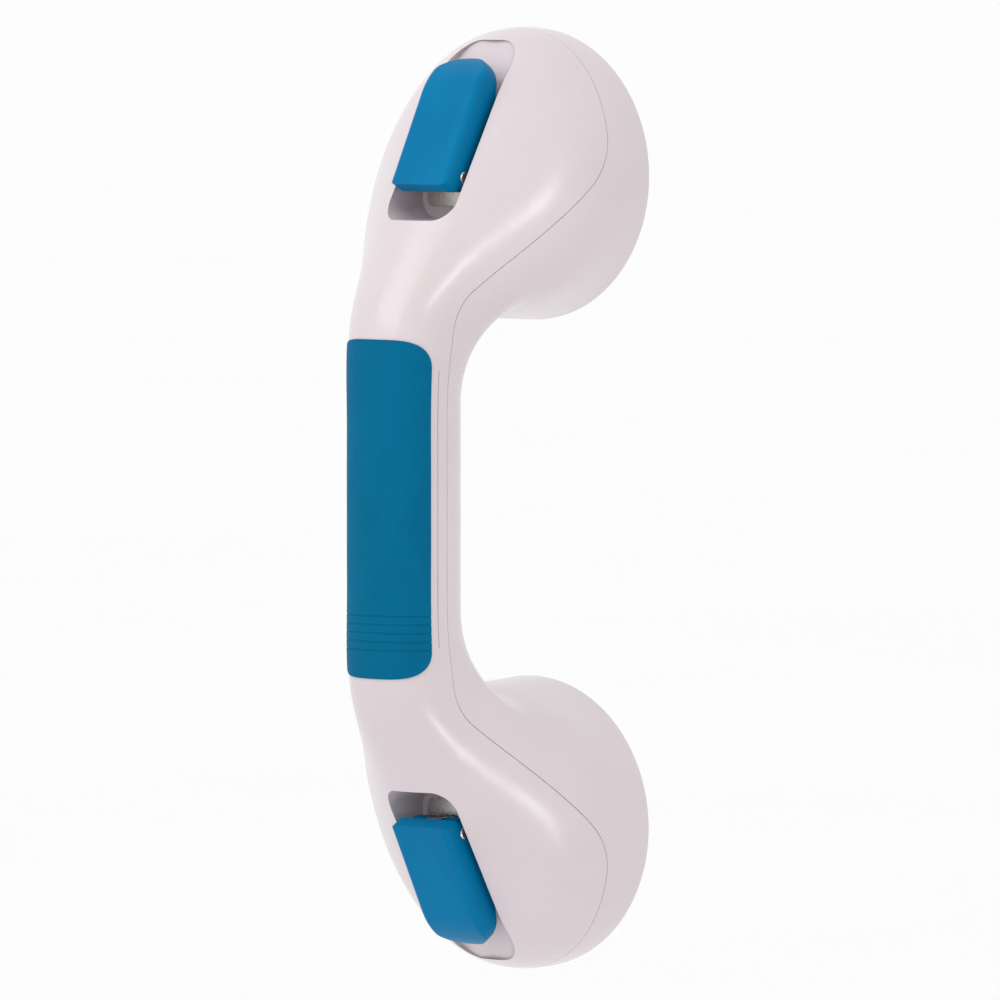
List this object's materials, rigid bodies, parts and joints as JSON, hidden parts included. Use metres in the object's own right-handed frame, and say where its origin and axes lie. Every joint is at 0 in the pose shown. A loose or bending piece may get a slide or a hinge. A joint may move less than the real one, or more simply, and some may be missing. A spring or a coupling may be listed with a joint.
{
  "type": "suction grab bar",
  "caption": "White suction grab bar: a hollow split-shell handle with a soft blue grip pad, and a rubber suction cup worked by a blue cam lever at each end.",
  "frame": {"origin": "on the wall plane, midway between the axes of the two suction cups", "axes": "+Z runs along the bar towards the upper cup, +Y points into the wall, and +X is across the bar"},
  "size_m": [0.09, 0.0815, 0.2904],
  "materials": {
    "white_shell": "glossy moulded ABS, white with a faint cool tint",
    "soft_pad": "soft-touch moulded TPE, matte teal blue",
    "blue_lever": "semi-gloss moulded acetal, blue",
    "cup_rubber": "soft PVC rubber, matte grey with a glossy sealing face",
    "inner_plastic": "glass-filled nylon, off-white",
    "screw_steel": "zinc-plated steel",
    "bright_steel": "turned stainless steel"
  },
  "bodies": {
    "housing": {"front_shell": "white_shell", "back_shell": "white_shell", "grip_pad": "soft_pad", "shell_screws": "screw_steel", "upper_suction_cup": "cup_rubber", "upper_pressure_plate": "inner_plastic", "upper_plate_screws": "screw_steel", "upper_cam_plate": "bright_steel", "lower_suction_cup": "cup_rubber", "lower_pressure_plate": "inner_plastic", "lower_plate_screws": "screw_steel", "lower_cam_plate": "bright_steel"},
    "upper_stud": {"upper_pull_stud": "bright_steel", "upper_stud_plate": "bright_steel"},
    "upper_lever": {"upper_lever": "blue_lever", "upper_lever_pin": "bright_steel"},
    "lower_stud": {"lower_pull_stud": "bright_steel", "lower_stud_plate": "bright_steel"},
    "lower_lever": {"lower_lever": "blue_lever", "lower_lever_pin": "bright_steel"}
  },
  "joints": [
    {"name": "upper_lever_hinge", "type": "hinge", "parent": "upper_stud", "child": "upper_lever", "pos_m": [0, -0.0493, 0.1], "axis": [1, 0, 0], "range_deg": [0, 90]},
    {"name": "upper_stud_slide", "type": "slide", "parent": "housing", "child": "upper_stud", "axis": [0, 1, 0], "range_m": [0, 0.004], "deforming": ["upper_suction_cup"]},
    {"name": "lower_lever_hinge", "type": "hinge", "parent": "lower_stud", "child": "lower_lever", "pos_m": [0, -0.0493, -0.1], "axis": [-1, 0, 0], "range_deg": [0, 90]},
    {"name": "lower_stud_slide", "type": "slide", "parent": "housing", "child": "lower_stud", "axis": [0, 1, 0], "range_m": [0, 0.004], "deforming": ["lower_suction_cup"]}
  ],
  "couplings": [
    {"joint": "upper_stud_slide", "follows": "upper_lever_hinge", "m_per_rad": 0.0025465},
    {"joint": "lower_stud_slide", "follows": "lower_lever_hinge", "m_per_rad": 0.0025465}
  ]
}
